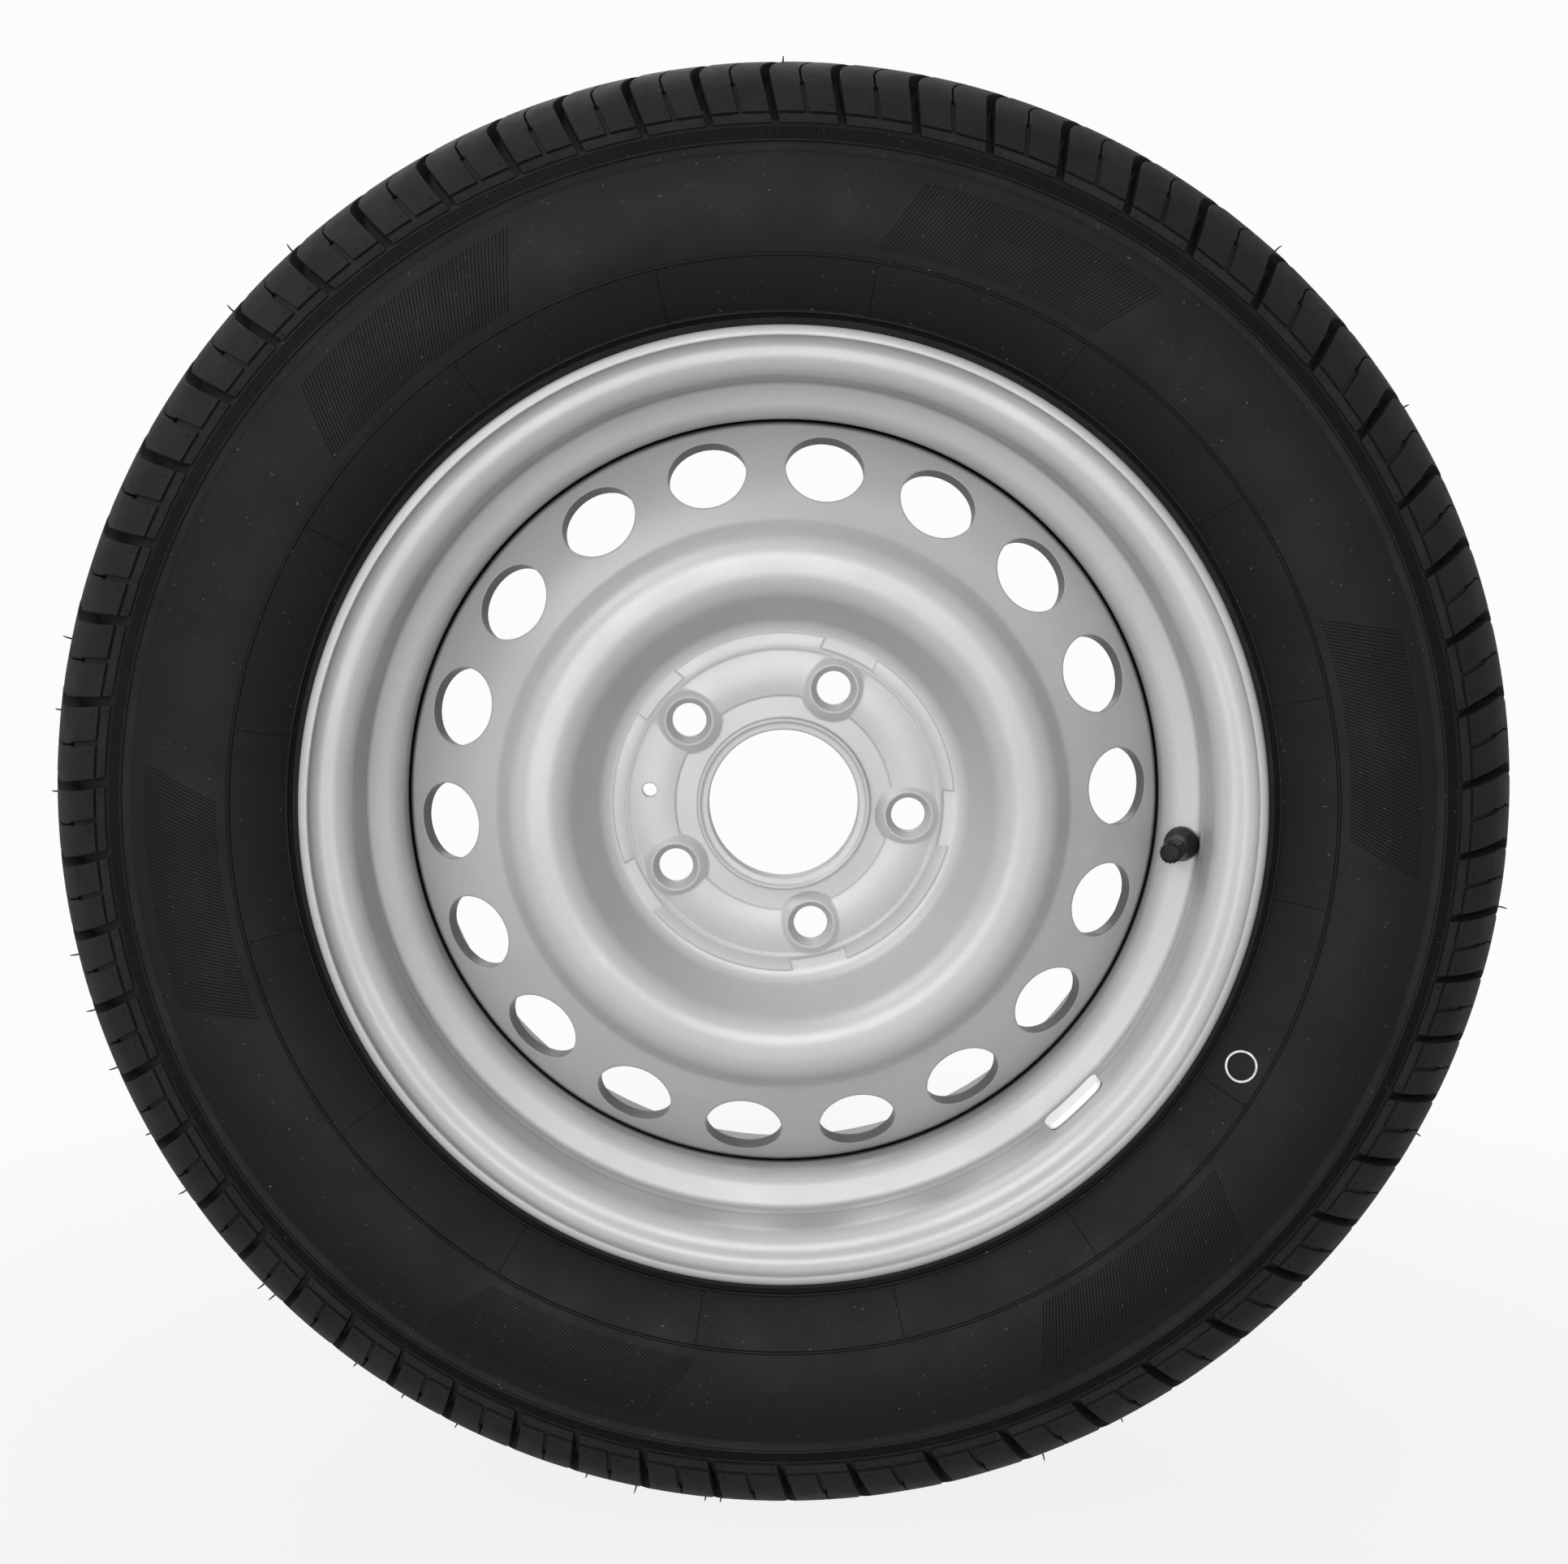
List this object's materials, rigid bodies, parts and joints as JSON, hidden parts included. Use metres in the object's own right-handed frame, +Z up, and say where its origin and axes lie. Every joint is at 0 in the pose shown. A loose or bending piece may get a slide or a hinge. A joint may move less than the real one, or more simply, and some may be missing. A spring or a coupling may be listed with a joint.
{
  "type": "wheel and tyre assembly",
  "caption": "Pressed-steel wheel with a vented disc and a drop-centre rim, fitted with a tubeless tyre, a snap-in valve with a screw-on dust cap, and a stick-on balance weight.",
  "frame": {"origin": "centre of the rim, on the wheel's axis, midway between the two flanges", "axes": "+Y along the wheel's axis towards the vehicle, -Y outboard, +Z up and +X to the right seen from outboard"},
  "size_m": [0.6411, 0.1852, 0.6412],
  "materials": {
    "tyre_rubber": "matt black moulded rubber",
    "silver_paint": "satin silver metallic paint on steel",
    "valve_rubber": "satin black rubber",
    "brass": "turned brass",
    "seal_rubber": "matt black rubber",
    "spring_steel": "bright spring wire",
    "cap_plastic": "matt black moulded plastic",
    "weight_coating": "white plastic coating over metal",
    "tape_foam": "grey closed-cell foam"
  },
  "bodies": {
    "wheel": {"tyre": "tyre_rubber", "rim": "silver_paint", "wheel_disc": "silver_paint", "disc_welds": "silver_paint", "valve_body": "valve_rubber", "valve_stem": "brass", "core_plug": "brass", "core_barrel": "brass", "core_barrel_gasket": "seal_rubber", "core_spring": "spring_steel", "balance_weight": "weight_coating", "weight_tape": "tape_foam"},
    "valve_pin": {"core_pin": "brass", "core_spring_seat": "brass", "core_plunger_cup": "brass", "core_plunger_gasket": "seal_rubber"},
    "cap_liner": {"cap_seal": "seal_rubber"},
    "dust_cap": {"cap_shell": "cap_plastic"}
  },
  "joints": [
    {"name": "pin_press", "type": "slide", "parent": "wheel", "child": "valve_pin", "axis": [0.3075, 0.9511, -0.0307], "range_m": [0, 0.0015], "stiffness_N_per_m": 500, "springref_m": -0.001, "deforming": ["core_spring"]},
    {"name": "cap_lift", "type": "slide", "parent": "wheel", "child": "cap_liner", "axis": [-0.3075, -0.9511, 0.0307], "range_m": [0, 0.00556]},
    {"name": "cap_turn", "type": "hinge", "parent": "cap_liner", "child": "dust_cap", "pos_m": [0.16767, -0.06974, -0.01674], "axis": [-0.3075, -0.9511, 0.0307], "range_deg": [0, 2520]}
  ],
  "couplings": [
    {"joint": "cap_turn", "follows": "cap_lift", "rad_per_m": 7913.3}
  ]
}
